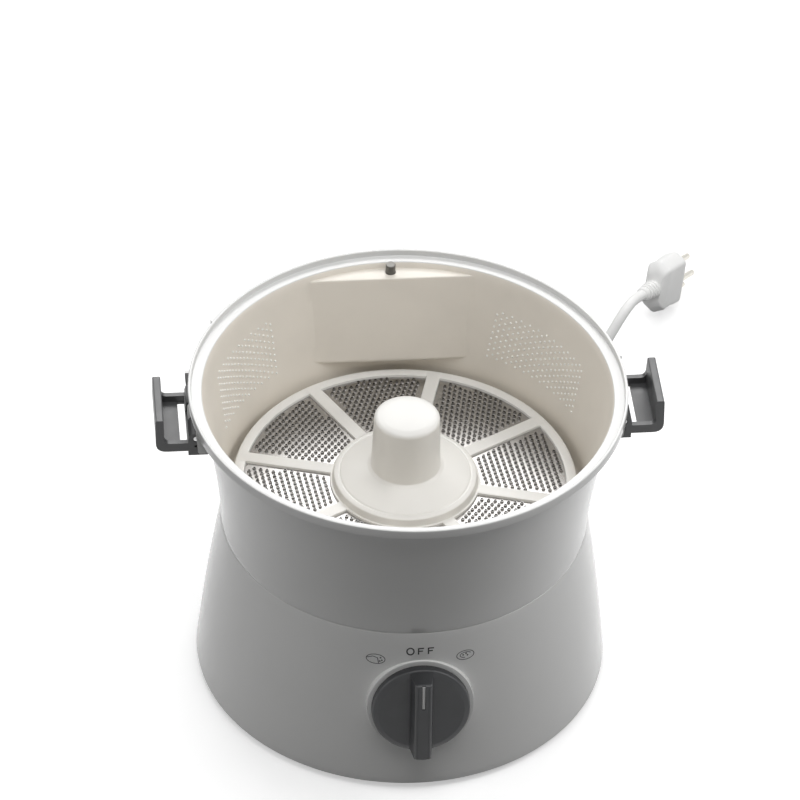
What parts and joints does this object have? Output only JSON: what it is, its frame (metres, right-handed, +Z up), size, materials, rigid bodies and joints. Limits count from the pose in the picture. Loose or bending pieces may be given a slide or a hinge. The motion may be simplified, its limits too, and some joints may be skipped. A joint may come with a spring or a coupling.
{
  "type": "electric potato peeler",
  "caption": "Electric potato peeler: motor base with front knob, lift-off bowl with two side latches, and a spinning peeling disc with raised grater plates; no lid.",
  "frame": {"origin": "on the table under the middle of the spindle, which is also the middle of the bowl and of the four feet", "axes": "+Z up along the spindle; -Y towards the front with the control knob; +X towards the right-hand latch"},
  "size_m": [0.3524, 0.452, 0.1936],
  "materials": {
    "white_plastic": "glossy white moulded plastic",
    "disc_plastic": "satin white moulded plastic",
    "black_plastic": "satin black plastic",
    "rubber": "matt black rubber",
    "stainless_steel": "bright stainless steel",
    "laminated_iron": "stacked iron sheets",
    "copper": "enamelled copper wire",
    "nickelled_brass": "nickel-plated brass",
    "nylon": "matt natural nylon",
    "white_cord": "soft white plastic"
  },
  "bodies": {
    "base": {"base_housing": "white_plastic", "bottom_cover": "white_plastic", "rubber_foot_1": "rubber", "rubber_foot_2": "rubber", "rubber_foot_3": "rubber", "rubber_foot_4": "rubber", "cover_screw_1": "stainless_steel", "cover_screw_2": "stainless_steel", "cover_screw_3": "stainless_steel", "bearing_upper": "nickelled_brass", "bearing_lower": "nickelled_brass", "spindle_seal": "rubber", "motor_stator": "laminated_iron", "field_coil_left": "copper", "field_coil_right": "copper", "motor_bracket_lower": "stainless_steel", "motor_bracket_upper": "stainless_steel", "brush_holder_front": "nickelled_brass", "brush_holder_back": "nickelled_brass", "drive_belt": "rubber", "rotary_switch": "black_plastic", "safety_switch": "black_plastic", "plunger_spring": "stainless_steel", "strain_relief": "white_cord", "cord_lead": "white_cord", "cord_coil": "white_cord", "cord_tail": "white_cord", "cord_tie": "black_plastic", "plug_body": "white_cord", "plug_pin_live": "nickelled_brass", "plug_pin_neutral": "nickelled_brass", "plug_pin_earth": "nickelled_brass"},
    "spindle": {"spindle_shaft": "stainless_steel", "driven_pulley": "nylon", "drive_head": "stainless_steel"},
    "rotor": {"rotor_shaft": "stainless_steel", "rotor_core": "laminated_iron", "commutator": "copper", "cooling_fan": "nylon", "motor_pulley": "nylon"},
    "knob": {"control_knob": "black_plastic", "knob_shaft": "stainless_steel"},
    "plunger": {"switch_plunger": "nylon"},
    "bowl_unit": {"bowl": "white_plastic", "latch_pin_left": "stainless_steel", "latch_pin_right": "stainless_steel", "rod_spring": "stainless_steel"},
    "rod": {"interlock_rod": "stainless_steel"},
    "lever_left": {"latch_left": "black_plastic"},
    "lever_right": {"latch_right": "black_plastic"},
    "disc": {"peeling_disc": "disc_plastic", "drive_socket": "nylon", "grater_plate_1": "stainless_steel", "grater_plate_2": "stainless_steel", "grater_plate_3": "stainless_steel", "grater_plate_4": "stainless_steel", "grater_plate_5": "stainless_steel", "grater_plate_6": "stainless_steel", "grater_plate_7": "stainless_steel", "grater_plate_8": "stainless_steel"}
  },
  "joints": [
    {"name": "spindle_spin", "type": "hinge", "parent": "base", "child": "spindle", "pos_m": [0, 0, 0.1], "axis": [0, 0, 1], "continuous": true},
    {"name": "rotor_spin", "type": "hinge", "parent": "base", "child": "rotor", "pos_m": [-0.052, 0.03, 0.062], "axis": [0, 0, 1], "continuous": true},
    {"name": "disc_spin", "type": "hinge", "parent": "bowl_unit", "child": "disc", "pos_m": [0, 0, 0.12], "axis": [0, 0, 1], "continuous": true},
    {"name": "knob_turn", "type": "hinge", "parent": "base", "child": "knob", "pos_m": [0, -0.1102, 0.058], "axis": [0, -0.9902, 0.1394], "range_deg": [-40, 40]},
    {"name": "bowl_lift", "type": "slide", "parent": "base", "child": "bowl_unit", "axis": [0, 0, 1], "range_m": [0, 0.13]},
    {"name": "rod_press", "type": "slide", "parent": "bowl_unit", "child": "rod", "axis": [0, 0, -1], "range_m": [0, 0.004], "stiffness_N_per_m": 300, "springref_m": -0.006, "deforming": ["rod_spring"]},
    {"name": "plunger_press", "type": "slide", "parent": "base", "child": "plunger", "axis": [0, 0, -1], "range_m": [0, 0.004], "stiffness_N_per_m": 300, "springref_m": -0.004, "deforming": ["plunger_spring"]},
    {"name": "latch_left_swing", "type": "hinge", "parent": "bowl_unit", "child": "lever_left", "pos_m": [-0.1165, 0, 0.179], "axis": [0, 1, 0], "range_deg": [0, 90]},
    {"name": "latch_right_swing", "type": "hinge", "parent": "bowl_unit", "child": "lever_right", "pos_m": [0.1165, 0, 0.179], "axis": [0, -1, 0], "range_deg": [0, 90]}
  ],
  "couplings": [
    {"joint": "rotor_spin", "follows": "spindle_spin", "ratio": 5},
    {"joint": "disc_spin", "follows": "spindle_spin", "ratio": 1},
    {"joint": "plunger_press", "follows": "rod_press", "ratio": 1}
  ]
}
